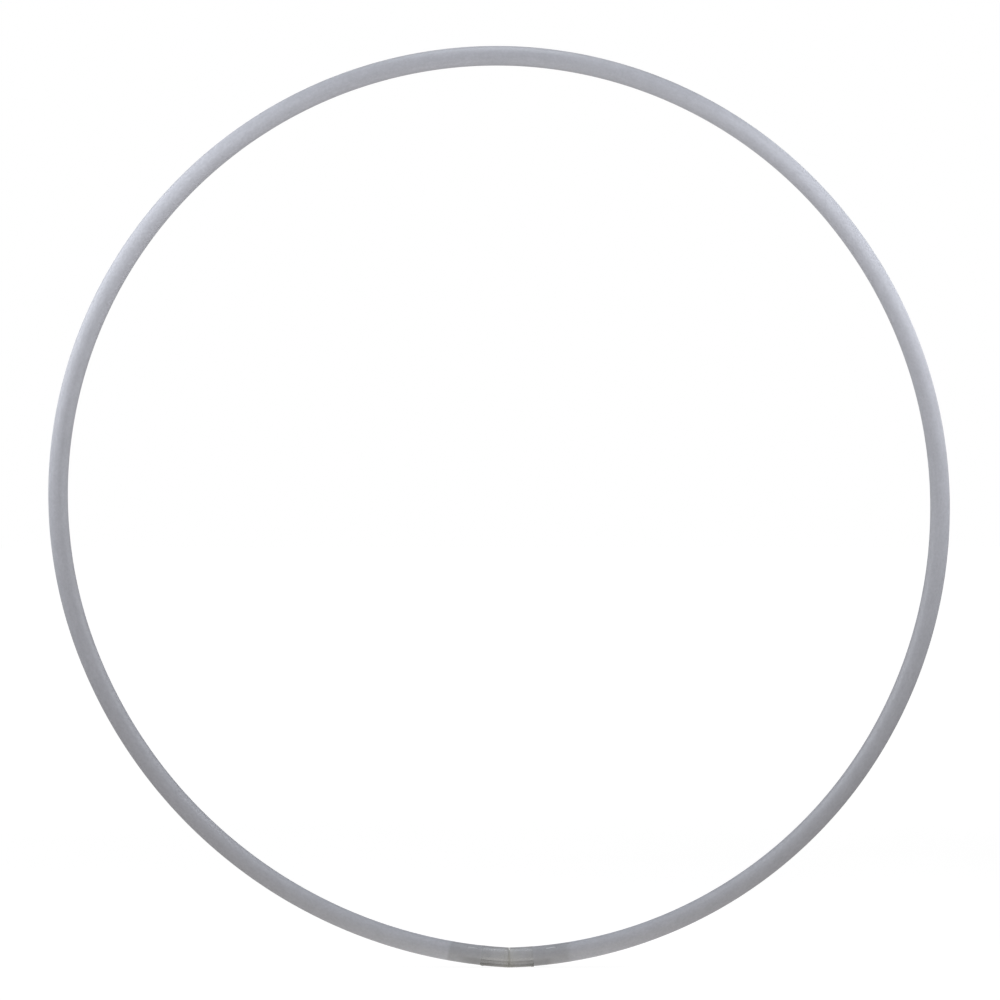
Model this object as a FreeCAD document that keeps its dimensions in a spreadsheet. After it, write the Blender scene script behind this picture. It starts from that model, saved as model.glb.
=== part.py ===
import FreeCAD, Part
import Sketcher
import math
import os

# A rhythmic gymnastics hoop: one plastic tube bent round until its two ends meet on a plug that
# is pushed into both, held by a staple in each end and a turn of clear tape over the joint.
#
# It stands upright like a wheel: +X points right, +Y runs along the ring's axis, +Z points up,
# and the origin is the middle of the ring. The joint is at the bottom. Every piece is drawn in a
# frame on the tube's centreline, with X along the tube and Z towards the middle of the ring, and
# its placement then carries it to its place on the ring.

os.makedirs("parts", exist_ok=True)
doc = FreeCAD.newDocument("rhythmic_hoop")

# Driving dimensions, in millimetres and degrees. Distances along the tube are counted on its
# centreline from the middle of the joint, positive towards the right.
SIZES = {
    # the tube
    "tube_diameter": 18.0,
    "tube_wall": 2.5,
    # its centreline: a hoop bent from a coil of tube is never quite round, so it is a closed chain
    # of tangent arcs, anticlockwise from the joint; a fourth arc, at the lower left, closes it
    "lower_right_radius": 404.6,
    "lower_right_sweep": 58.2,
    "upper_right_radius": 423.8,
    "upper_right_sweep": 70.9,
    "upper_left_radius": 404.1,
    # the joint: the ends meet at a slight peak that points outwards
    "joint_x": 9.24,
    "joint_z": -415.475,
    "joint_heading": -0.75,
    "joint_peak": 4.5,
    "joint_gap": 1.2,
    "right_end_bevel": 0.6,
    "left_end_bevel": 1.0,
    # the plug, a short length of smaller tube
    "plug_length": 112.0,
    "plug_wall": 2.4,
    "plug_clearance": 0.05,
    "plug_bevel": 0.8,
    # the clear tape: one turn and a lap, whose edges are given by their angle round the tube
    "tape_width": 48.0,
    "tape_shift": -1.8,
    "tape_thickness": 0.12,
    "tape_lap_start": 221.0,
    "tape_lap_end": 320.0,
    # the staples, on the side of the tube that faces the middle of the ring and leans forwards
    "left_staple_at": -34.6,
    "right_staple_at": 39.2,
    "staple_lean": 42.0,
    "staple_crown": 10.0,
    "staple_leg": 6.0,
    "staple_wire_width": 0.9,
    "staple_wire_thickness": 0.6,
    "staple_corner": 0.9,
    "staple_point": 0.4,
    "staple_stand": 0.05,
}

sheet = doc.addObject("Spreadsheet::Sheet", "sizes")
for row, (alias, value) in enumerate(SIZES.items(), start=1):
    sheet.set(f"A{row}", str(value))
    sheet.setAlias(f"A{row}", alias)
doc.recompute()

# Sizes that follow from the driving ones, as rules on the spreadsheet
TUBE_RADIUS = "sizes.tube_diameter / 2"
BORE_RADIUS = "sizes.tube_diameter / 2 - sizes.tube_wall"
PLUG_RADIUS = f"{BORE_RADIUS} - sizes.plug_clearance"
PLUG_BORE_RADIUS = f"{PLUG_RADIUS} - sizes.plug_wall"
GAP_RADIUS = "sizes.joint_gap / sizes.joint_peak * 180 / pi"
PLUG_SIDE = "(sizes.plug_length - sizes.joint_gap) / 2"
TAPE_SIDE = "(sizes.tape_width - sizes.joint_gap) / 2"
CROWN_SPAN = "sizes.staple_crown - sizes.staple_wire_thickness"
CROWN_HEIGHT = "sizes.staple_leg - sizes.staple_wire_thickness / 2"
STAPLE_BEND = "sizes.staple_corner - sizes.staple_wire_thickness / 2"
STAPLE_TOP = f"{TUBE_RADIUS} + sizes.staple_stand"


def size(alias):
    """A driving dimension."""
    return float(sheet.get(alias))


def worked_out(rule):
    """The value of a rule on the spreadsheet."""
    return float(sheet.evalExpression(rule))


# ---------------------------------------------------------------- the centreline

RIGHT_ANGLE = math.pi / 2
FULL_TURN = 2 * math.pi


def walk(pose, radius, length):
    """Follows an arc that turns anticlockwise; a negative length follows it backwards."""
    x, z, heading = pose
    after = heading + length / radius
    x += radius * (math.sin(after) - math.sin(heading))
    z -= radius * (math.cos(after) - math.cos(heading))
    return x, z, after


def arc_centre(pose, radius):
    """The centre of an arc that sets off from a pose and turns anticlockwise."""
    x, z, heading = pose
    return x - radius * math.sin(heading), z + radius * math.cos(heading)


def close_ring(third_start, third_radius, left_end):
    """The sweep of the third arc, and the radius and sweep of the fourth. The fourth touches the
    third from within or without and arrives at the tube's left end along its heading."""
    third_x, third_z = arc_centre(third_start, third_radius)
    x, z, heading = left_end
    across, up = x - third_x, z - third_z
    inwards = up * math.cos(heading) - across * math.sin(heading)
    radius = (third_radius**2 - across**2 - up**2) / (2 * (inwards + third_radius))
    fourth_x, fourth_z = arc_centre(left_end, radius)
    side = math.copysign(1, radius - third_radius)
    meeting = math.atan2(side * (third_z - fourth_z), side * (third_x - fourth_x)) + RIGHT_ANGLE
    meeting %= FULL_TURN
    return meeting - third_start[2], radius, heading + FULL_TURN - meeting


PEAK = math.radians(size("joint_peak"))
GAP_ARC = (worked_out(GAP_RADIUS), PEAK)
JOINT = (size("joint_x"), size("joint_z"), math.radians(size("joint_heading")))
RIGHT_END = walk(JOINT, GAP_ARC[0], size("joint_gap") / 2)
LEFT_END = walk(JOINT, GAP_ARC[0], -size("joint_gap") / 2)

LOWER_RIGHT = (size("lower_right_radius"), math.radians(size("lower_right_sweep")))
UPPER_RIGHT = (size("upper_right_radius"), math.radians(size("upper_right_sweep")))
third_start = walk(RIGHT_END, LOWER_RIGHT[0], LOWER_RIGHT[0] * LOWER_RIGHT[1])
third_start = walk(third_start, UPPER_RIGHT[0], UPPER_RIGHT[0] * UPPER_RIGHT[1])
closing = close_ring(third_start, size("upper_left_radius"), LEFT_END)
UPPER_LEFT = (size("upper_left_radius"), closing[0])
LOWER_LEFT = (closing[1], closing[2])


def station(distance):
    """The pose of the centreline at a distance from the middle of the joint."""
    half_gap = size("joint_gap") / 2
    in_gap = max(-half_gap, min(half_gap, distance))
    radius = LOWER_RIGHT[0] if distance > 0 else LOWER_LEFT[0]
    return walk(walk(JOINT, GAP_ARC[0], in_gap), radius, distance - in_gap)


def placement_at(distance, lean=0.0):
    """The frame on the centreline at a distance from the joint, leaning forwards by some degrees."""
    x, z, heading = station(distance)
    along = FreeCAD.Rotation(FreeCAD.Vector(0, -1, 0), math.degrees(heading))
    forwards = FreeCAD.Rotation(FreeCAD.Vector(1, 0, 0), lean)
    return FreeCAD.Placement(FreeCAD.Vector(x, 0, z), along * forwards)


# ---------------------------------------------------------------- sketches and features

START, END, CENTRE = 1, 2, 3  # how a sketch numbers the points of an arc or a line
ORIGIN, FIRST_AXIS, SECOND_AXIS = -1, -1, -2  # how it numbers its own origin and axes


def new_body(name):
    body = doc.addObject("PartDesign::Body", name)
    body.Label = name
    return body


def new_sketch(body, name, plane):
    sketch = body.newObject("Sketcher::SketchObject", name)
    face = next(feature for feature in body.Origin.OriginFeatures if feature.Role == plane)
    sketch.AttachmentSupport = [(face, "")]
    sketch.MapMode = "FlatFace"
    return sketch


def tie(sketch, kind, *where):
    """Adds a constraint that has no size."""
    return sketch.addConstraint(Sketcher.Constraint(kind, *where))


def bind(sketch, name, rule, kind, *where):
    """Adds a constraint whose size follows a rule on the spreadsheet."""
    index = tie(sketch, kind, *where)
    sketch.renameConstraint(index, name)
    sketch.setExpression(f"Constraints.{name}", rule)


def circle(radius, x=0.0, y=0.0):
    return Part.Circle(FreeCAD.Vector(x, y, 0), FreeCAD.Vector(0, 0, 1), radius)


def line(begin, finish):
    return Part.LineSegment(FreeCAD.Vector(*begin, 0), FreeCAD.Vector(*finish, 0))


def draw_arcs(sketch, arcs):
    """Draws tangent arcs, each a radius and a sweep, from the sketch's origin along its first axis."""
    pose = (0.0, 0.0, 0.0)
    for radius, sweep in arcs:
        whole = circle(radius, *arc_centre(pose, radius))
        begin = pose[2] - RIGHT_ANGLE
        sketch.addGeometry(Part.ArcOfCircle(whole, begin, begin + sweep), False)
        pose = walk(pose, radius, radius * sweep)
    tie(sketch, "Coincident", 0, START, ORIGIN, START)
    tie(sketch, "PointOnObject", 0, CENTRE, SECOND_AXIS)
    for index in range(len(arcs) - 1):
        tie(sketch, "Tangent", index, END, index + 1, START)


def bind_arc(sketch, index, name, arc, radius_rule, sweep_rule=None):
    """Binds an arc's radius, and its sweep unless the arcs beside it settle that."""
    bind(sketch, f"{name}_radius", radius_rule, "Radius", index, arc[0])
    if sweep_rule:
        bind(sketch, f"{name}_sweep", sweep_rule, "Angle", index, arc[1])


def add_circle(sketch, name, rule):
    """A circle about the sketch's origin."""
    index = sketch.addGeometry(circle(worked_out(rule)), False)
    tie(sketch, "Coincident", index, CENTRE, ORIGIN, START)
    bind(sketch, f"{name}_radius", rule, "Radius", index, worked_out(rule))


def add_pipe(body, name, profile, path):
    """Sweeps a profile, which stands across the start of the path, along the path."""
    doc.recompute()
    pipe = body.newObject("PartDesign::AdditivePipe", name)
    pipe.Profile = profile
    pipe.Spine = (path, [])
    body.Tip = pipe
    doc.recompute()
    return pipe


def add_chamfer(body, name, feature, is_wanted, rule):
    """Chamfers the edges of a feature that pass a test."""
    edges = enumerate(feature.Shape.Edges, start=1)
    wanted = [f"Edge{index}" for index, edge in edges if is_wanted(edge)]
    chamfer = body.newObject("PartDesign::Chamfer", name)
    chamfer.Base = (feature, wanted)
    chamfer.setExpression("Size", rule)
    body.Tip = chamfer
    doc.recompute()
    return chamfer


def rim(radius, centre):
    """A test for the round edge of a tube's end face."""
    near = 0.01

    def is_rim(edge):
        if not isinstance(edge.Curve, Part.Circle) or abs(edge.Curve.Radius - radius) > near:
            return False
        return edge.Curve.Center.distanceToPoint(centre) < near

    return is_rim


def far_centre(body, distance):
    """The centre of a piece's far end in the piece's own frame."""
    x, z, _ = station(distance)
    return body.Placement.inverse().multVec(FreeCAD.Vector(x, 0, z))


# ---------------------------------------------------------------- the tube


def draw_ring(body):
    """The tube's centreline. A construction arc stands for the gap at the joint and closes it."""
    sketch = new_sketch(body, "ring_path", "XZ_Plane")
    draw_arcs(sketch, [LOWER_RIGHT, UPPER_RIGHT, UPPER_LEFT, LOWER_LEFT, GAP_ARC])
    tie(sketch, "Tangent", 4, END, 0, START)
    sketch.setConstruction(4, True)
    for index, name, arc in ((0, "lower_right", LOWER_RIGHT), (1, "upper_right", UPPER_RIGHT)):
        bind_arc(sketch, index, name, arc, f"sizes.{name}_radius", f"sizes.{name}_sweep")
    bind_arc(sketch, 2, "upper_left", UPPER_LEFT, "sizes.upper_left_radius")
    bind_arc(sketch, 4, "gap", GAP_ARC, GAP_RADIUS, "sizes.joint_peak")
    measured = tie(sketch, "Radius", 3, LOWER_LEFT[0])
    sketch.setDriving(measured, False)
    sketch.renameConstraint(measured, "lower_left_radius")
    return sketch


bent_tube = new_body("bent_tube")
bent_tube.Placement = placement_at(size("joint_gap") / 2)
ring_path = draw_ring(bent_tube)
tube_section = new_sketch(bent_tube, "tube_section", "YZ_Plane")
add_circle(tube_section, "outside", TUBE_RADIUS)
add_circle(tube_section, "bore", BORE_RADIUS)
tube_pipe = add_pipe(bent_tube, "tube_pipe", tube_section, ring_path)
right_rim = rim(worked_out(TUBE_RADIUS), FreeCAD.Vector(0, 0, 0))
left_rim = rim(worked_out(TUBE_RADIUS), far_centre(bent_tube, -size("joint_gap") / 2))
one_bevelled = add_chamfer(bent_tube, "right_bevel", tube_pipe, right_rim, "sizes.right_end_bevel")
add_chamfer(bent_tube, "left_bevel", one_bevelled, left_rim, "sizes.left_end_bevel")

# ---------------------------------------------------------------- the plug


def draw_joint_path(body, name, left_side, right_side):
    """The centreline through the joint, with rules for its length on each side of the gap."""
    sketch = new_sketch(body, name, "XZ_Plane")
    left = (LOWER_LEFT[0], worked_out(left_side) / LOWER_LEFT[0])
    right = (LOWER_RIGHT[0], worked_out(right_side) / LOWER_RIGHT[0])
    draw_arcs(sketch, [left, GAP_ARC, right])
    left_radius = "ring_path.Constraints.lower_left_radius"
    left_sweep = f"({left_side}) * 1 mm / {left_radius} * 180 / pi"
    right_sweep = f"({right_side}) / sizes.lower_right_radius * 180 / pi"
    bind_arc(sketch, 0, "left", left, left_radius, left_sweep)
    bind_arc(sketch, 1, "gap", GAP_ARC, GAP_RADIUS, "sizes.joint_peak")
    bind_arc(sketch, 2, "right", right, "sizes.lower_right_radius", right_sweep)
    return sketch


plug_tube = new_body("plug_tube")
plug_tube.Placement = placement_at(-size("plug_length") / 2)
plug_path = draw_joint_path(plug_tube, "plug_path", PLUG_SIDE, PLUG_SIDE)
plug_section = new_sketch(plug_tube, "plug_section", "YZ_Plane")
add_circle(plug_section, "outside", PLUG_RADIUS)
add_circle(plug_section, "bore", PLUG_BORE_RADIUS)
plug_pipe = add_pipe(plug_tube, "plug_pipe", plug_section, plug_path)
near_rim = rim(worked_out(PLUG_RADIUS), FreeCAD.Vector(0, 0, 0))
far_rim = rim(worked_out(PLUG_RADIUS), far_centre(plug_tube, size("plug_length") / 2))
one_bevelled = add_chamfer(plug_tube, "near_bevel", plug_pipe, near_rim, "sizes.plug_bevel")
add_chamfer(plug_tube, "far_bevel", one_bevelled, far_rim, "sizes.plug_bevel")

# ---------------------------------------------------------------- the tape


def draw_film(sketch):
    """The outside of one turn of film on the tube, and of the lap that goes on over its beginning."""
    film = size("tape_thickness")
    single, double = worked_out(TUBE_RADIUS) + film, worked_out(TUBE_RADIUS) + 2 * film
    start, end = math.radians(size("tape_lap_start")), math.radians(size("tape_lap_end"))

    def step(angle, begin, finish):
        across, up = math.cos(angle), math.sin(angle)
        return line((begin * across, begin * up), (finish * across, finish * up))

    sketch.addGeometry(Part.ArcOfCircle(circle(single), end, start + FULL_TURN), False)
    sketch.addGeometry(step(start, single, double), False)
    sketch.addGeometry(Part.ArcOfCircle(circle(double), start, end), False)
    sketch.addGeometry(step(end, double, single), False)
    for index in range(4):
        tie(sketch, "Coincident", index, END, (index + 1) % 4, START)
    for arc, edge in ((0, 1), (2, 3)):
        tie(sketch, "Coincident", arc, CENTRE, ORIGIN, START)
        tie(sketch, "PointOnObject", ORIGIN, START, edge)
    bind(sketch, "single_radius", f"{TUBE_RADIUS} + sizes.tape_thickness", "Radius", 0, single)
    bind(sketch, "double_radius", f"{TUBE_RADIUS} + 2 * sizes.tape_thickness", "Radius", 2, double)
    lap = "sizes.tape_lap_end - sizes.tape_lap_start"
    bind(sketch, "lap_sweep", lap, "Angle", 2, end - start)
    turn = (FIRST_AXIS, START, 3, END, end - math.pi)
    bind(sketch, "lap_end", "sizes.tape_lap_end - 180", "Angle", *turn)


joint_tape = new_body("joint_tape")
joint_tape.Placement = placement_at(size("tape_shift") - size("tape_width") / 2)
tape_left, tape_right = f"{TAPE_SIDE} - sizes.tape_shift", f"{TAPE_SIDE} + sizes.tape_shift"
tape_path = draw_joint_path(joint_tape, "tape_path", tape_left, tape_right)
tape_section = new_sketch(joint_tape, "tape_section", "YZ_Plane")
draw_film(tape_section)
add_circle(tape_section, "inside", TUBE_RADIUS)
add_pipe(joint_tape, "tape_pipe", tape_section, tape_path)

# ---------------------------------------------------------------- the staples


def draw_wire_path(body, name):
    """The wire's centreline from one leg's tip, up, across and down to the other leg's tip."""
    sketch = new_sketch(body, name, "XZ_Plane")
    span, height = worked_out(CROWN_SPAN), worked_out(CROWN_HEIGHT)
    bend = worked_out(STAPLE_BEND)
    low = height - bend
    left_bend, right_bend = circle(bend, bend, low), circle(bend, span - bend, low)
    sketch.addGeometry(line((0, 0), (0, low)), False)
    sketch.addGeometry(Part.ArcOfCircle(left_bend, RIGHT_ANGLE, math.pi), False)
    sketch.addGeometry(line((bend, height), (span - bend, height)), False)
    sketch.addGeometry(Part.ArcOfCircle(right_bend, 0, RIGHT_ANGLE), False)
    sketch.addGeometry(line((span, low), (span, 0)), False)
    tie(sketch, "Coincident", 0, START, ORIGIN, START)
    tie(sketch, "Tangent", 0, END, 1, END)
    tie(sketch, "Tangent", 1, START, 2, START)
    tie(sketch, "Tangent", 2, END, 3, END)
    tie(sketch, "Tangent", 3, START, 4, START)
    tie(sketch, "Vertical", 0)
    tie(sketch, "Horizontal", 2)
    tie(sketch, "Vertical", 4)
    tie(sketch, "Equal", 1, 3)
    tie(sketch, "PointOnObject", 4, END, FIRST_AXIS)
    bind(sketch, "bend", STAPLE_BEND, "Radius", 1, bend)
    bind(sketch, "span", CROWN_SPAN, "DistanceX", 0, START, 4, END, span)
    bind(sketch, "height", CROWN_HEIGHT, "DistanceY", 0, START, 2, START, height)
    return sketch


def draw_wire_section(body, name):
    """The flat wire's rectangle, centred on the sketch's origin."""
    sketch = new_sketch(body, name, "XY_Plane")
    thick, broad = size("staple_wire_thickness"), size("staple_wire_width")
    signs = [(-1, -1), (1, -1), (1, 1), (-1, 1)]
    corners = [(thick / 2 * across, broad / 2 * up) for across, up in signs]
    for index in range(4):
        sketch.addGeometry(line(corners[index], corners[(index + 1) % 4]), False)
    for index in range(4):
        tie(sketch, "Coincident", index, END, (index + 1) % 4, START)
        tie(sketch, "Vertical" if index % 2 else "Horizontal", index)
    tie(sketch, "Symmetric", 0, START, 1, END, ORIGIN, START)
    bind(sketch, "thick", "sizes.staple_wire_thickness", "DistanceX", 0, START, 0, END, thick)
    bind(sketch, "broad", "sizes.staple_wire_width", "DistanceY", 1, START, 1, END, broad)
    return sketch


def make_staple(name, distance):
    """A staple that straddles its place on the tube, with its crown just proud of the surface."""
    body = new_body(name)
    path = draw_wire_path(body, f"{name}_path")
    section = draw_wire_section(body, f"{name}_section")
    wire = add_pipe(body, f"{name}_wire", section, path)
    half_wire = size("staple_wire_thickness") / 2
    span = worked_out(CROWN_SPAN)

    def outer_tip(edge):
        middle = edge.CenterOfMass
        beyond = max(-middle.x, middle.x - span)
        return abs(middle.z) < 0.001 and abs(beyond - half_wire) < 0.001

    add_chamfer(body, f"{name}_points", wire, outer_tip, "sizes.staple_point")
    first_tip = FreeCAD.Vector(-span / 2, 0, worked_out(STAPLE_TOP) - size("staple_leg"))
    to_tip = FreeCAD.Placement(first_tip, FreeCAD.Rotation())
    body.Placement = placement_at(distance, size("staple_lean")) * to_tip
    return body


staples = [make_staple(f"{side}_staple", size(f"{side}_staple_at")) for side in ("left", "right")]
staple_pair = doc.addObject("Part::Compound", "staple_pair")
staple_pair.Links = staples

# ---------------------------------------------------------------- the stapled tube and plug


def drive_staples(name, body):
    """A tube's body with the staples' slots driven through its wall."""
    cut = doc.addObject("Part::Cut", name)
    cut.Label = name
    cut.Base = body
    cut.Tool = staple_pair
    return cut


hoop_tube = drive_staples("hoop_tube", bent_tube)
joint_plug = drive_staples("joint_plug", plug_tube)
doc.recompute()

# ---------------------------------------------------------------- tests and files

for thing in doc.Objects:
    if "Invalid" in thing.State or "Error" in thing.State:
        raise RuntimeError(f"{thing.Name} is {thing.State}")

tube_length = sum(radius * sweep for radius, sweep in (LOWER_RIGHT, UPPER_RIGHT, UPPER_LEFT, LOWER_LEFT))
wall_area = math.pi * (worked_out(TUBE_RADIUS) ** 2 - worked_out(BORE_RADIUS) ** 2)
if abs(tube_pipe.Shape.Volume / (wall_area * tube_length) - 1) > 0.001:
    raise RuntimeError("the bent tube isn't its wall's section times its length")

parts = [hoop_tube, joint_plug, joint_tape, *staples]
for part in parts:
    if part.Shape.isNull() or not part.Shape.isValid() or len(part.Shape.Solids) != 1:
        raise RuntimeError(f"{part.Label} isn't one valid solid")

for part in parts:
    part.Shape.exportStep(f"parts/{part.Label}.step")
    box = part.Shape.optimalBoundingBox()
    print(f"{part.Label}: {part.Shape.Volume:.1f} mm3")
    for axis in "XYZ":
        low, high = getattr(box, f"{axis}Min"), getattr(box, f"{axis}Max")
        print(f"    {axis} {low:.3f} to {high:.3f}")
print(f"tube length {tube_length:.1f} mm, closing arc {LOWER_LEFT[0]:.2f} mm")
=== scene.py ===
import math

import bpy
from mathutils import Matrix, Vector, noise


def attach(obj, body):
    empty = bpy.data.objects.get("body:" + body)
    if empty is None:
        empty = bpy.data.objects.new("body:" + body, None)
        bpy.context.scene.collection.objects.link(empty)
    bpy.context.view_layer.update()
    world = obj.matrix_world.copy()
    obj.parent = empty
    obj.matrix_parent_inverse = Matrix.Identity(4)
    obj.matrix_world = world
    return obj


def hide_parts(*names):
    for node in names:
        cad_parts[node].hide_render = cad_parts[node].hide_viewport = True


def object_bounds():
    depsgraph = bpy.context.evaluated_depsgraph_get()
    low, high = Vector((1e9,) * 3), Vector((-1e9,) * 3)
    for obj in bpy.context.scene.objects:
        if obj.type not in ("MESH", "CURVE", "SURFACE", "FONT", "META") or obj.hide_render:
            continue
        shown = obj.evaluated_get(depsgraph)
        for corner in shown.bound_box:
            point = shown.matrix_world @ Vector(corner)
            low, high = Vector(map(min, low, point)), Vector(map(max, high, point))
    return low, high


# A rhythmic gymnastics hoop in satin light grey plastic, upright like a wheel, with its joint at the
# bottom: +X points right, +Y away from the camera, +Z up. Everything is in metres, in the CAD's frame.

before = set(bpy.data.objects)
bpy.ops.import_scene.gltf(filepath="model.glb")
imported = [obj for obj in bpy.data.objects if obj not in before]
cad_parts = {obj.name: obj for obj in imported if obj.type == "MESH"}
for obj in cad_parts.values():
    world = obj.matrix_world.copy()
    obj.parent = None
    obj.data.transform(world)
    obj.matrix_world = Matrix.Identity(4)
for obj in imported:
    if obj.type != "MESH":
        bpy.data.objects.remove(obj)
cad_low, cad_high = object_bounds()

# ---------------------------------------------------------------- sizes, from the CAD design

TUBE_RADIUS = 0.009
BORE_RADIUS = 0.0065
JOINT_GAP = 0.0012
RIGHT_BEVEL, LEFT_BEVEL = 0.0006, 0.001
RIGHT_END = (0.00984, -0.415471, math.radians(1.5))  # x, z and heading where the tube begins
ARCS = (  # radius and sweep in degrees of the centreline's tangent arcs, anticlockwise
    (0.4046, 58.2),
    (0.4238, 70.9),
    (0.4041, 160.305),
    (0.44057, 66.095),
)
PLUG_HALF = 0.056  # its length to each side of the joint
TAPE_WIDTH, TAPE_SHIFT = 0.048, -0.0018  # the shift is of its middle, from the joint
TAPE_THICKNESS = 0.00012
TAPE_OUTER_EDGE, TAPE_INNER_EDGE = 131.0, 230.0  # degrees round the tube, see around()
STAPLES = {"left_staple": -0.0346, "right_staple": 0.0392}  # place along the joint
STAPLE_LEAN = 42.0  # degrees round the tube
STAPLE_CROWN, STAPLE_WIDTH = 0.01, 0.0009

TUBE_LENGTH = sum(radius * math.radians(sweep) for radius, sweep in ARCS)


# ---------------------------------------------------------------- the tube's centreline


def walk(pose, radius, length):
    """Follows an arc that turns anticlockwise from a pose, which is x, z and heading."""
    x, z, heading = pose
    after = heading + length / radius
    x += radius * (math.sin(after) - math.sin(heading))
    z -= radius * (math.cos(after) - math.cos(heading))
    return x, z, after


def tube_pose(distance):
    """The pose of the centreline at a distance from the tube's right end."""
    pose = RIGHT_END
    for radius, sweep in ARCS:
        length = radius * math.radians(sweep)
        if distance <= length:
            break
        pose = walk(pose, radius, length)
        distance -= length
    return walk(pose, radius, distance)


def joint_pose(distance):
    """The pose at a distance from the middle of the joint, positive towards the right."""
    half_gap = JOINT_GAP / 2
    if distance >= half_gap:
        return tube_pose(distance - half_gap)
    x, z, heading = tube_pose(TUBE_LENGTH + min(distance + half_gap, 0.0))
    left = (x, z, heading - math.tau)
    if distance <= -half_gap:
        return left
    share = (distance + half_gap) / JOINT_GAP
    return tuple(a + share * (b - a) for a, b in zip(left, RIGHT_END))


def around(pose, radius, degrees):
    """A point at an angle round the tube: 0 is the side that faces the middle of the ring, 90 the
    side that faces the viewer, 180 the outermost side and 270 the back."""
    x, z, heading = pose
    angle = math.radians(degrees)
    inwards = radius * math.cos(angle)
    forwards = radius * math.sin(angle)
    return Vector((x - inwards * math.sin(heading), -forwards, z + inwards * math.cos(heading)))


def smooth_step(low, high, value):
    share = min(1.0, max(0.0, (value - low) / (high - low)))
    return share * share * (3 - 2 * share)


def evenly(low, high, spacing):
    """Numbers from low to high with steps of about a spacing."""
    steps = max(1, round(abs(high - low) / spacing))
    return [low + (high - low) * index / steps for index in range(steps + 1)]


# ---------------------------------------------------------------- meshes


def grid(rows, width, first=0, wrap_rows=False, wrap_columns=False, flipped=False):
    """The quads of a grid of points, stored row after row."""
    faces = []
    for row in range(rows if wrap_rows else rows - 1):
        for column in range(width if wrap_columns else width - 1):
            here, above = first + row * width, first + (row + 1) % rows * width
            beside = (column + 1) % width
            face = (here + column, here + beside, above + beside, above + column)
            faces.append(face[::-1] if flipped else face)
    return faces


def new_piece(name, points, faces):
    mesh = bpy.data.meshes.new(name)
    mesh.from_pydata(points, [], faces)
    mesh.shade_smooth()
    piece = bpy.data.objects.new(name, mesh)
    bpy.context.scene.collection.objects.link(piece)
    return piece


def keep_vectors(piece, name, vectors):
    """Keeps a vector for each point, for the material to read."""
    numbers = [number for vector in vectors for number in vector]
    piece.data.attributes.new(name, "FLOAT_VECTOR", "POINT").data.foreach_set("vector", numbers)


def keep_numbers(piece, name, numbers):
    piece.data.attributes.new(name, "FLOAT", "POINT").data.foreach_set("value", numbers)


# ---------------------------------------------------------------- the tube's surface

WAVE = 0.00004  # how far the drawn tube strays from a true round
WAVE_LENGTH = 0.09
PLUG_SWELL = 0.00004
SWELL_INSIDE, SWELL_OUTSIDE = 0.006, 0.004  # how far to each side of the plug's end the swelling fades
GROOVE_DEPTH, GROOVE_HALF = 0.00032, 0.00075
GROOVE_FLOOR = 0.55  # share of its half width that is flat
LIP_HEIGHT, LIP_WIDTH = 0.0001, 0.0006

# Places along the joint where something fades in on the left and out on the right.
# The tube is darker over the plug: painted shade of the plug seen through the tube's wall.
PLUG_SHADE_LEFT, PLUG_SHADE_RIGHT = (-0.0578, -0.0542), (0.0515, 0.0605)
# Painted shade on the joint's side that faces the floor.
ROLLED_SHADE_LEFT, ROLLED_SHADE_RIGHT = (-0.048, -0.036), (0.034, 0.042)
ROLLED_SHADE_FACING = (0.2, 0.34)  # how far outwards the tube faces, from -1 to 1, where the painted shade fades in
ROLLED_SHADE, STAPLE_GRIME_AND_SHADE = 0.36, 0.8  # how far the painted shade, and the dirt and painted shade round the staples, hide the plastic


def staple_relief(distance, degrees):
    """The groove that a staple's crown is pressed into, and the lip of plastic round it."""
    relief = 0.0
    for at in STAPLES.values():
        beyond = max(abs(distance - at) - (STAPLE_CROWN - STAPLE_WIDTH) / 2, 0.0)
        sideways = TUBE_RADIUS * math.radians(degrees - STAPLE_LEAN)
        reach = math.hypot(beyond, sideways)
        if reach < GROOVE_HALF + 3 * LIP_WIDTH:
            groove = 1 - smooth_step(GROOVE_FLOOR * GROOVE_HALF, GROOVE_HALF, reach)
            lip = math.exp(-(((reach - GROOVE_HALF - 0.5 * LIP_WIDTH) / (0.5 * LIP_WIDTH)) ** 2))
            relief += LIP_HEIGHT * lip - GROOVE_DEPTH * groove
    return relief


def staple_grime_and_shade(distance, degrees):
    """The dirt and painted shade round the two holes where each staple's legs go in, from 0 to 1."""
    darkening = 0.0
    for at in STAPLES.values():
        beyond = abs(distance - at) - (STAPLE_CROWN - STAPLE_WIDTH) / 2
        sideways = TUBE_RADIUS * math.radians(degrees - STAPLE_LEAN)
        darkening += STAPLE_GRIME_AND_SHADE * math.exp(-((math.hypot(beyond, sideways) / GROOVE_HALF) ** 2))
    return darkening


def from_joint(distance):
    """A distance from the tube's right end as one from the middle of the joint, left of it negative."""
    if distance > TUBE_LENGTH / 2:
        return distance - TUBE_LENGTH - JOINT_GAP / 2
    return distance + JOINT_GAP / 2


def outer_radius(distance, degrees):
    """The tube's outside radius, with the small unevenness of a drawn and bent tube."""
    angle = math.radians(degrees)
    where = Vector((distance / WAVE_LENGTH, math.cos(angle), math.sin(angle)))
    at = from_joint(distance)
    over_plug = 1 - smooth_step(PLUG_HALF - SWELL_INSIDE, PLUG_HALF + SWELL_OUTSIDE, abs(at))
    return TUBE_RADIUS + WAVE * noise.noise(where) + PLUG_SWELL * over_plug + staple_relief(at, degrees)


def columns():
    """Angles of the mesh's columns round the tube, closer together where the staples are."""
    fine, coarse, half_fine = 2.0, 7.0, 16.0
    close = evenly(STAPLE_LEAN - half_fine, STAPLE_LEAN + half_fine, fine)
    return close + evenly(close[-1], close[0] + 360, coarse)[1:-1]


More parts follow.
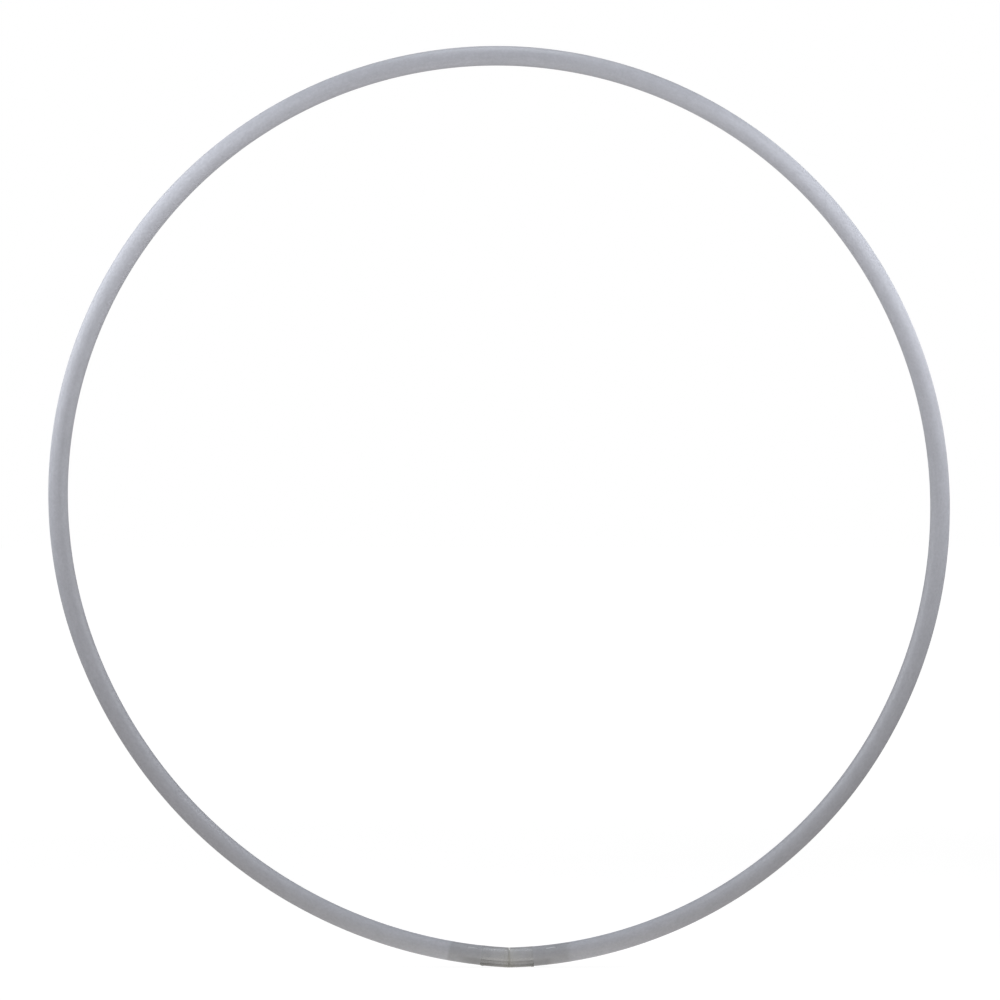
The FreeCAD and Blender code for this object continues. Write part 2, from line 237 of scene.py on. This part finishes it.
def stations(begin, finish):
    """Distances of the mesh's rings along the tube's outside, closer together at the joint."""
    fine, coarse, joint_side = 0.0005, 0.006, 0.06
    right = evenly(begin, joint_side, fine)
    left = evenly(TUBE_LENGTH - joint_side, finish, fine)
    return right + evenly(right[-1], left[0], coarse)[1:-1] + left


def tube_rings():
    """The tube's rings as a distance, a radius (None on the outside, which has a relief) and a side,
    in one closed loop: the outside, the left end, the bore and the right end."""
    bore_spacing, inner_bevel, round_share = 0.018, 0.0002, 0.3
    rings = [(distance, None) for distance in stations(RIGHT_BEVEL, TUBE_LENGTH - LEFT_BEVEL)]

    def end(face, bevel, side):
        """A rounded bevel, the cut face and the bore's edge."""
        return [
            (face - side * bevel * round_share, TUBE_RADIUS - bevel * (1 - 2 * round_share)),
            (face, TUBE_RADIUS - bevel),
            (face, BORE_RADIUS + inner_bevel),
            (face - side * inner_bevel, BORE_RADIUS),
        ]

    rings += end(TUBE_LENGTH, LEFT_BEVEL, 1)
    bore = evenly(TUBE_LENGTH - inner_bevel, inner_bevel, bore_spacing)
    rings += [(distance, BORE_RADIUS) for distance in bore[1:-1]]
    rings += reversed(end(0.0, RIGHT_BEVEL, -1))
    return rings


def make_tube():
    """The tube as one closed mesh of quads. Each point also keeps its place on the straight tube,
    before bending, how far it lies in the plug's painted shade, and how far dirt and painted shade
    darken it."""
    rings, angles = tube_rings(), columns()
    points, straight, plug_shade_shares, grime_and_shade = [], [], [], []
    for distance, fixed_radius in rings:
        pose = tube_pose(distance)
        at = from_joint(distance)
        # Painted shade of the plug seen through the wall.
        plug_shade_share = smooth_step(*PLUG_SHADE_LEFT, at) - smooth_step(*PLUG_SHADE_RIGHT, at)
        darkening = smooth_step(*ROLLED_SHADE_LEFT, at) - smooth_step(*ROLLED_SHADE_RIGHT, at)
        for degrees in angles:
            radius = fixed_radius or outer_radius(distance, degrees)
            points.append(around(pose, radius, degrees))
            angle = math.radians(degrees)
            straight.append((distance, radius * math.cos(angle), radius * math.sin(angle)))
            plug_shade_shares.append(plug_shade_share)
            # Painted shade on the joint's side that faces the floor, and dirt and painted shade round the
            # staple holes.
            rolled_shade = darkening * smooth_step(*ROLLED_SHADE_FACING, -math.cos(angle))
            grime_and_shade.append(max(ROLLED_SHADE * rolled_shade, staple_grime_and_shade(at, degrees)))
    faces = grid(len(rings), len(angles), wrap_rows=True, wrap_columns=True)
    tube = new_piece("hoop_tube_skin", points, faces)
    keep_vectors(tube, "straight", straight)
    keep_numbers(tube, "over_plug", plug_shade_shares)
    keep_numbers(tube, "grime_and_shade", grime_and_shade)
    return tube


# ---------------------------------------------------------------- the tape

TAPE_CLEARANCE = 0.00002  # air under the film
TAPE_TURN = 360 + TAPE_INNER_EDGE - TAPE_OUTER_EDGE  # degrees, one turn and the lap
STEP_TURN = 12.0  # the turn over which the film climbs onto its own first layer
TAPE_LIFTS = (  # place along the joint, turned degrees, height and half width of a loose spot
    (-0.0238, 402.0, 0.0006, 0.0013),
    (0.0208, 408.0, 0.00055, 0.0013),
    (-0.0052, 456.0, 0.00012, 0.0040),
)
LIFT_TURN = 26.0  # a loose spot's half width round the tube, in degrees
# How far the film's free edge strays, in degrees, and its noise's cells to the metre and place.
RAGGED_TURN, RAGGED_CELLS, RAGGED_PLACE = 1.6, 160, 4.0


def film_height(at, turned):
    """The height of the film's underside over the tube."""
    climb = smooth_step(360 - STEP_TURN, 360, turned)
    height = TAPE_CLEARANCE + (TAPE_THICKNESS + TAPE_CLEARANCE) * climb
    for place, turn, lift, half_width in TAPE_LIFTS:
        if turned > 360:
            along, round_tube = (at - place) / half_width, (turned - turn) / LIFT_TURN
            height += lift * math.exp(-(along**2) - round_tube**2)
    return height


def make_tape():
    """The clear film wound once round the joint and lapped at the outer side, as a thin closed solid.
    Each point also keeps its place on the film with the way it faces, and its distance from the
    nearest edge."""
    fine, coarse, margin, turn_step = 0.0003, 0.0015, 0.004, 3.0
    low, high = TAPE_SHIFT - TAPE_WIDTH / 2, TAPE_SHIFT + TAPE_WIDTH / 2
    across = evenly(low, low + margin, fine)
    across += evenly(low + margin, high - margin, coarse)[1:-1] + evenly(high - margin, high, fine)
    turns = evenly(0.0, TAPE_TURN, turn_step)
    under, over, place, edge = [], [], [], []
    for turn in turns:
        for at in across:
            ragged_turn = RAGGED_TURN * noise.noise(Vector((at * RAGGED_CELLS, 0.0, RAGGED_PLACE)))
            turned = turn * (1 + ragged_turn / TAPE_TURN)
            degrees = (TAPE_INNER_EDGE - turned) % 360
            pose = joint_pose(at)
            distance = at - JOINT_GAP / 2 if at > 0 else TUBE_LENGTH + at + JOINT_GAP / 2
            radius = outer_radius(distance, degrees) + film_height(at, turned)
            under.append(around(pose, radius, degrees))
            over.append(around(pose, radius + TAPE_THICKNESS, degrees))
            along_turn = TUBE_RADIUS * math.radians(turned)
            place.append((at, along_turn, math.cos(math.radians(degrees))))
            edge.append(min(at - low, high - at, TUBE_RADIUS * math.radians(TAPE_TURN - turn)))
    rows, width = len(turns), len(across)
    count = rows * width
    faces = grid(rows, width, flipped=True) + grid(rows, width, first=count)
    smooth_count = len(faces)
    for row in range(rows - 1):
        for column in (0, width - 1):
            here, above = row * width + column, (row + 1) * width + column
            wall = (here, above, above + count, here + count)
            faces.append(wall[::-1] if column == 0 else wall)
    for column in range(width - 1):
        for row in (0, rows - 1):
            here = row * width + column
            wall = (here, here + count, here + 1 + count, here + 1)
            faces.append(wall[::-1] if row == 0 else wall)
    tape = new_piece("clear_joint_tape", under + over, faces)
    for face in tape.data.polygons[smooth_count:]:
        face.use_smooth = False
    keep_vectors(tape, "film", place + place)
    keep_numbers(tape, "from_edge", edge + edge)
    return tape


# ---------------------------------------------------------------- materials


class Nodes:
    """Adds nodes to a material or a world. An input is a number, a tuple or another node's output."""

    def __init__(self, owner):
        owner.use_nodes = True
        self.tree = owner.node_tree
        self.tree.nodes.clear()

    def add(self, kind, inputs=None, **settings):
        node = self.tree.nodes.new(f"ShaderNode{kind}")
        for name, value in settings.items():
            setattr(node, name, value)
        for name, value in (inputs or {}).items():
            if isinstance(value, bpy.types.NodeSocket):
                self.tree.links.new(value, node.inputs[name])
            else:
                node.inputs[name].default_value = value
        return node

    def math(self, operation, *values):
        return self.add("Math", dict(enumerate(values)), operation=operation).outputs[0]

    def product(self, first, second):
        return self.math("MULTIPLY", first, second)

    def total(self, *values):
        """A sum. A pair in it is a value and its weight."""
        terms = [self.product(*value) if isinstance(value, tuple) else value for value in values]
        result = terms[0]
        for term in terms[1:]:
            result = self.math("ADD", result, term)
        return result

    def attribute(self, name, output="Fac"):
        return self.add("Attribute", attribute_name=name).outputs[output]

    def noise(self, where, cells, detail=2.0, roughness=0.5):
        """Noise from 0 to 1. The cells are counted to the metre in x, y and z."""
        place = self.add("VectorMath", {0: where, 1: cells}, operation="MULTIPLY").outputs[0]
        inputs = {"Vector": place, "Scale": 1.0, "Detail": detail, "Roughness": roughness}
        return self.add("TexNoise", inputs).outputs["Fac"]

    def step(self, value, low, high, low_result=0.0, high_result=1.0):
        """Takes low to low_result and high to high_result, smoothly, and keeps within them."""
        inputs = {"Value": value, "From Min": low, "From Max": high}
        inputs.update({"To Min": low_result, "To Max": high_result})
        return self.add("MapRange", inputs, interpolation_type="SMOOTHSTEP").outputs["Result"]

    def color(self, factor, first, second):
        """A colour between two others. The Mix node's colours are its inputs 6 and 7 and its output 2."""
        mix = self.add("Mix", {0: factor, 6: first, 7: second}, data_type="RGBA")
        return mix.outputs[2]

    def shade(self, color, tone):
        return self.add("VectorMath", {0: color, "Scale": tone}, operation="SCALE").outputs[0]

    def bump(self, height):
        """Turns a height in metres into a normal."""
        return self.add("Bump", {"Height": height, "Distance": 1.0, "Strength": 1.0}).outputs["Normal"]

    def principled(self, color, roughness, height):
        """Ends the material with a Principled shader, and gives it back."""
        inputs = {"Base Color": color, "Roughness": roughness, "Normal": self.bump(height)}
        shader = self.add("BsdfPrincipled", inputs)
        self.surface(shader)
        return shader

    def surface(self, shader):
        self.add("OutputMaterial", {"Surface": shader.outputs[0]})


TUBE_COLOR = (0.42, 0.425, 0.46, 1)
# The tube's colour in the plug's painted shade.
TUBE_COLOR_IN_PLUG_SHADE = (0.342, 0.345, 0.366, 1)
SCUFF_COLOR = (0.5, 0.5, 0.51, 1)
# The colour of the dirt and painted shade at the joint.
GRIME_AND_SHADE_COLOR = (0.15, 0.148, 0.145, 1)
SCUFFED = (-0.0066, -0.0088)  # across the tube, where the scuffed band fades in
WEAR_SHARE = 0.22  # how far the worn places take the scuffs' colour
TUBE_IOR = 1.5

PLUG_COLOR = (0.66, 0.66, 0.64)
STEEL_COLOR = (0.48, 0.48, 0.49)
STEEL_STAIN_COLOR, STAIN_SHARE = (0.22, 0.21, 0.19, 1), 0.6

FILM_TINT = (0.995, 0.995, 0.992, 1)
GLUE_COLOR, OLD_GLUE_COLOR = (0.84, 0.84, 0.85, 1), (0.84, 0.83, 0.76, 1)
# The colour of the film's dirt and painted shade.
FILM_DIRT_AND_SHADE_COLOR = (0.165, 0.163, 0.158, 1)
FILM_IOR = 1.4
WHITE = (1, 1, 1, 1)


def tube_plastic():
    """Satin light grey plastic, drawn into a tube: faint lines along it, soft mottling, and the dull
    band with small scratches that rolling on the floor leaves on its outermost side. Its colour also
    holds painted shade: darker over the plug and on the joint's side that faces the floor, with dirt
    and painted shade round the staple holes."""
    material = bpy.data.materials.new("satin_tube_plastic")
    nodes = Nodes(material)
    straight = nodes.attribute("straight", "Vector")
    # over_plug is the share of the plug's painted shade.
    over_plug = nodes.attribute("over_plug")
    grime_and_shade = nodes.attribute("grime_and_shade")
    inwards = nodes.add("SeparateXYZ", {0: straight}).outputs["Y"]

    patches = nodes.noise(straight, (14, 60, 60), detail=3)
    clouds = nodes.noise(straight, (90, 130, 130), detail=3)
    grain = nodes.noise(straight, (430, 520, 520), detail=2, roughness=0.6)
    broad_lines = nodes.noise(straight, (3, 420, 420), detail=2)
    fine_lines = nodes.noise(straight, (7, 1900, 1900), detail=2)
    pimples = nodes.noise(straight, (900, 900, 900), detail=3, roughness=0.6)

    band = nodes.step(inwards, *SCUFFED)
    rubbed = nodes.product(band, nodes.step(clouds, 0.42, 0.68))
    scratches = nodes.step(nodes.noise(straight, (210, 1500, 1500), detail=1), 0.66, 0.72)
    scratches = nodes.product(scratches, nodes.step(band, 0.0, 1.0, 0.12, 0.8))

    tone = nodes.total(
        0.69, (patches, 0.08), (clouds, 0.13), (grain, 0.28), (broad_lines, 0.1), (fine_lines, 0.03)
    )
    # Darker over the plug: painted shade.
    clean = nodes.shade(nodes.color(over_plug, TUBE_COLOR, TUBE_COLOR_IN_PLUG_SHADE), tone)
    worn = nodes.product(nodes.math("MAXIMUM", rubbed, scratches), WEAR_SHARE)
    # Painted shade on the joint's side that faces the floor, and dirt and painted shade round the staple
    # holes.
    grimy_and_shaded = nodes.product(grime_and_shade, nodes.step(clouds, 0.3, 0.6, 0.7, 1.0))
    color = nodes.color(grimy_and_shaded, nodes.color(worn, clean, SCUFF_COLOR), GRIME_AND_SHADE_COLOR)
    roughness = nodes.total(0.36, (clouds, 0.16), (fine_lines, 0.06), (rubbed, 0.12), (scratches, 0.1))
    height = nodes.total(
        (broad_lines, 0.000018), (fine_lines, 0.000006), (pimples, 0.000008), (scratches, -0.00002)
    )
    shader = nodes.principled(color, roughness, height)
    shader.inputs["IOR"].default_value = TUBE_IOR
    return material


def plug_plastic():
    """The plug's grey plastic, with the rings that turning it left."""
    material = bpy.data.materials.new("turned_plug_plastic")
    nodes = Nodes(material)
    where = nodes.add("TexCoord").outputs["Object"]
    rings = nodes.noise(where, (2600, 30, 30), detail=2)
    clouds = nodes.noise(where, (260, 260, 260), detail=3)
    color = nodes.shade(PLUG_COLOR, nodes.total(0.9, (rings, 0.1), (clouds, 0.1)))
    roughness = nodes.step(clouds, 0.3, 0.7, 0.5, 0.68)
    nodes.principled(color, roughness, nodes.total((rings, 0.00002), (clouds, 0.00001)))
    return material


def staple_steel():
    """Bright wire that is scratched along its length and dull with dirt in places."""
    material = bpy.data.materials.new("bright_staple_wire")
    nodes = Nodes(material)
    where = nodes.add("TexCoord").outputs["Object"]
    drawn = nodes.noise(where, (160, 4200, 4200), detail=2)
    stains = nodes.noise(where, (420, 420, 420), detail=3)
    stained = nodes.step(stains, 0.5, 0.68)
    clean = nodes.shade(STEEL_COLOR, nodes.total(0.92, (drawn, 0.14)))
    color = nodes.color(nodes.product(stained, STAIN_SHARE), clean, STEEL_STAIN_COLOR)
    roughness = nodes.total(0.3, (drawn, 0.14), (stained, 0.25))
    shader = nodes.principled(color, roughness, nodes.product(drawn, 0.000008))
    shader.inputs["Metallic"].default_value = 1.0
    return material


# Where dirt and painted shade on the film fade in: by how far the film faces inwards, from -1 to 1 ...
OUTER_SIDE = (-0.1, -0.85)
# Painted shade on the joint's side that faces the floor: a band, a dark line and a darker rim.
ROLLED_SHADE_BAND, ROLLED_SHADE_RIM = (-0.22, -0.32), (-0.62, -0.78)
SHADE_LINE_BEGIN, SHADE_LINE_END = (-0.26, -0.34), (-0.37, -0.46)
# ... and by the distance from the film's edge or from the gap.
# The first pair is dirt along the film's edges, the second painted shade over the gap.
EDGE_DIRT, GAP_SHADE = (0.0012, 0.0), (0.0013, 0.0004)
GAP_HAZE, OLD_GLUE = (0.026, 0.006), (0.009, 0.001)


def film_dirt_and_shade(nodes, from_edge, from_gap, inwards, specks):
    """How thick the dirt and painted shade on the film are: dirt along its edges, painted shade over the
    gap, and painted shade on the joint's side that faces the floor, which starts with a dark line and
    gets darker at the rim."""
    outer_side = nodes.step(inwards, *OUTER_SIDE)
    at_edge = nodes.product(nodes.step(from_edge, *EDGE_DIRT), nodes.step(specks, 0.35, 0.6))
    at_edge = nodes.product(at_edge, nodes.step(outer_side, 0.0, 1.0, 0.0, 0.5))
    gap_shade = nodes.step(from_gap, *GAP_SHADE)
    gap_shade = nodes.product(gap_shade, nodes.step(outer_side, 0.0, 1.0, 0.0, 0.27))
    band, rim = nodes.step(inwards, *ROLLED_SHADE_BAND), nodes.step(inwards, *ROLLED_SHADE_RIM)
    line_begin, line_end = nodes.step(inwards, *SHADE_LINE_BEGIN), nodes.step(inwards, *SHADE_LINE_END)
    line = nodes.math("SUBTRACT", line_begin, line_end)
    rolled_shade = nodes.total(band, (line, 1.5), (rim, 2.0))
    rolled_shade = nodes.product(rolled_shade, nodes.step(specks, 0.2, 0.7, 0.06, 0.08))
    return nodes.math("MAXIMUM", nodes.math("MAXIMUM", at_edge, gap_shade), rolled_shade)


def clear_film():
    """Clear glossy film with a slight haze, the dirt on it, painted shade over the gap and on the side
    that faces the floor, and glue that has yellowed a little over the gap."""
    material = bpy.data.materials.new("clear_film")
    nodes = Nodes(material)
    place = nodes.attribute("film", "Vector")
    from_edge = nodes.attribute("from_edge")
    split = nodes.add("SeparateXYZ", {0: place})
    from_gap = nodes.math("ABSOLUTE", split.outputs["X"])
    wrinkles = nodes.noise(place, (60, 420, 0), detail=3)
    specks = nodes.noise(place, (700, 700, 0), detail=3, roughness=0.6)

    # dirt holds the dirt along the film's edges and painted shade over the gap and on the side that faces
    # the floor.
    dirt = film_dirt_and_shade(nodes, from_edge, from_gap, split.outputs["Z"], specks)
    haze = nodes.total(0.03, (specks, 0.04), (nodes.step(from_gap, *GAP_HAZE), 0.085), dirt)
    yellowed = nodes.step(from_gap, *OLD_GLUE, 0.0, 0.8)
    glue = nodes.color(yellowed, GLUE_COLOR, OLD_GLUE_COLOR)
    haze_color = nodes.color(nodes.math("DIVIDE", dirt, haze), glue, FILM_DIRT_AND_SHADE_COLOR)

    clear = nodes.add("BsdfTransparent", {"Color": FILM_TINT})
    cloudy = nodes.add("BsdfDiffuse", {"Color": haze_color})
    body = nodes.add("MixShader", {0: haze, 1: clear.outputs[0], 2: cloudy.outputs[0]})
    normal = nodes.bump(nodes.product(wrinkles, 0.00003))
    roughness = nodes.step(specks, 0.3, 0.7, 0.14, 0.34)
    gloss = nodes.add("BsdfAnisotropic", {"Color": WHITE, "Roughness": roughness, "Normal": normal})
    front = nodes.math("SUBTRACT", 1.0, nodes.add("NewGeometry").outputs["Backfacing"])
    dulled = nodes.product(front, nodes.step(dirt, 0.0, 0.3, 1.0, 0.25))
    mirror = nodes.product(nodes.add("Fresnel", {"IOR": FILM_IOR}).outputs[0], dulled)
    nodes.surface(nodes.add("MixShader", {0: mirror, 1: body.outputs[0], 2: gloss.outputs[0]}))
    return material


# ---------------------------------------------------------------- the pieces


def dress(piece, material):
    piece.data.materials.clear()
    piece.data.materials.append(material)


tube = make_tube()
dress(tube, tube_plastic())
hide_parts("hoop_tube")
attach(tube, "root")

tape = make_tape()
dress(tape, clear_film())
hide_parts("joint_tape")
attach(tape, "root")

dress(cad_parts["joint_plug"], plug_plastic())
steel = staple_steel()
for name in STAPLES:
    dress(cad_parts[name], steel)

# ---------------------------------------------------------------- the studio

scene = bpy.context.scene
scene.view_settings.view_transform = "Standard"


def soft_light(name, place, power, size, color):
    """A square light that faces the middle of the ring and that the camera doesn't see."""
    lamp = bpy.data.lights.new(name, "AREA")
    lamp.energy, lamp.size, lamp.color = power, size, color
    light = bpy.data.objects.new(name, lamp)
    light.location = place
    light.rotation_euler = (-Vector(place)).to_track_quat("-Z", "Y").to_euler()
    light.visible_camera = False
    scene.collection.objects.link(light)


BACK_SHARE = 0.5  # how bright each light's twin behind the hoop is
COOL, WARM = (0.967, 1.0, 1.05), (1.02, 1.01, 0.96)
LIGHTS = (  # name, place, power in watts, size and colour
    ("left", (-1.0, -0.15, 0.6), 3.7, 0.8, COOL),
    ("left_flank", (-0.75, -0.3, 0.25), 0.88, 0.4, COOL),
    ("left_front", (-0.3, -0.25, 0.3), 0.4, 0.3, COOL),
    ("right", (0.75, -0.3, 0.55), 1.82, 0.6, COOL),
    ("right_flank", (0.75, -0.3, 0.25), 1.13, 0.4, COOL),
    ("right_front", (0.3, -0.25, 0.3), 0.32, 0.3, COOL),
    ("top", (0.0, -0.1, 0.85), 1.0, 0.4, COOL),
    ("low", (0.0, -0.35, -0.7), 0.56, 0.5, WARM),
    ("low_front", (0.0, -0.3, -0.5), 0.15, 0.3, WARM),
)
for name, (x, y, z), power, size, color in LIGHTS:
    soft_light(name, (x, y, z), power, size, color)
    soft_light(name + "_back", (x, -y, z), power * BACK_SHARE, size, color)

WORLD_LEVEL, WORLD_SLOPE = 0.33, (0.0, -0.074, -0.256)
WORLD_COLOR = (1.015, 0.99, 0.972, 1)
FLOOR_HALF = 30.0
GLOW_RANGE, GLOW_STRENGTH = (0.4, 3.0), (0.93, 1.0)  # distances from the ring's middle, and strengths there


def make_world():
    """White to the eye. For everything else it is a dim surround, brighter below and towards the
    viewer."""
    world = bpy.data.worlds.new("studio")
    scene.world = world
    nodes = Nodes(world)
    direction = nodes.add("TexCoord").outputs["Generated"]
    slope = nodes.add("VectorMath", {0: direction, 1: WORLD_SLOPE}, operation="DOT_PRODUCT")
    level = nodes.math("ADD", slope.outputs["Value"], WORLD_LEVEL)
    surround = nodes.add("Background", {"Color": WORLD_COLOR, "Strength": level})
    white = nodes.add("Background", {"Color": WHITE, "Strength": 1.0})
    seen = nodes.add("LightPath").outputs["Is Camera Ray"]
    mixed = nodes.add("MixShader", {0: seen, 1: surround.outputs[0], 2: white.outputs[0]})
    nodes.add("OutputWorld", {"Surface": mixed.outputs[0]})


make_world()


def make_floor():
    """A wide pale floor, level with the lowest point of the hoop. It doesn't light the hoop: the
    world's lower half stands for what it would throw back."""
    signs = ((-1, -1), (1, -1), (1, 1), (-1, 1))
    corners = [(x * FLOOR_HALF, y * FLOOR_HALF, cad_low.z) for x, y in signs]
    floor = new_piece("floor", corners, [(0, 1, 2, 3)])
    floor.visible_diffuse = floor.visible_glossy = floor.visible_transmission = floor.visible_shadow = False
    material = bpy.data.materials.new("pale_floor")
    nodes = Nodes(material)
    where = nodes.add("TexCoord").outputs["Object"]
    tone = nodes.step(nodes.noise(where, (3, 3, 3), detail=3), 0.2, 0.8, 0.1, 0.12)
    away = nodes.add("VectorMath", {0: where}, operation="LENGTH").outputs["Value"]
    glow = nodes.step(away, *GLOW_RANGE, *GLOW_STRENGTH)
    inputs = {"Base Color": nodes.shade(WHITE[:3], tone), "Roughness": 0.9}
    inputs.update({"Emission Color": WHITE, "Emission Strength": glow})
    nodes.surface(nodes.add("BsdfPrincipled", inputs))
    floor.data.materials.append(material)


make_floor()

LENS = 135.0  # millimetres
VIEW_WIDTH = 0.9217  # what the picture spans at the hoop, in metres
VIEW_MIDDLE = (0.00085, 0.00613)  # x and z


def make_camera():
    data = bpy.data.cameras.new("camera")
    data.lens = LENS
    camera = bpy.data.objects.new("camera", data)
    camera.location = (VIEW_MIDDLE[0], -VIEW_WIDTH * LENS / data.sensor_width, VIEW_MIDDLE[1])
    camera.rotation_euler = (math.radians(90), 0, 0)
    scene.collection.objects.link(camera)
    scene.camera = camera


make_camera()
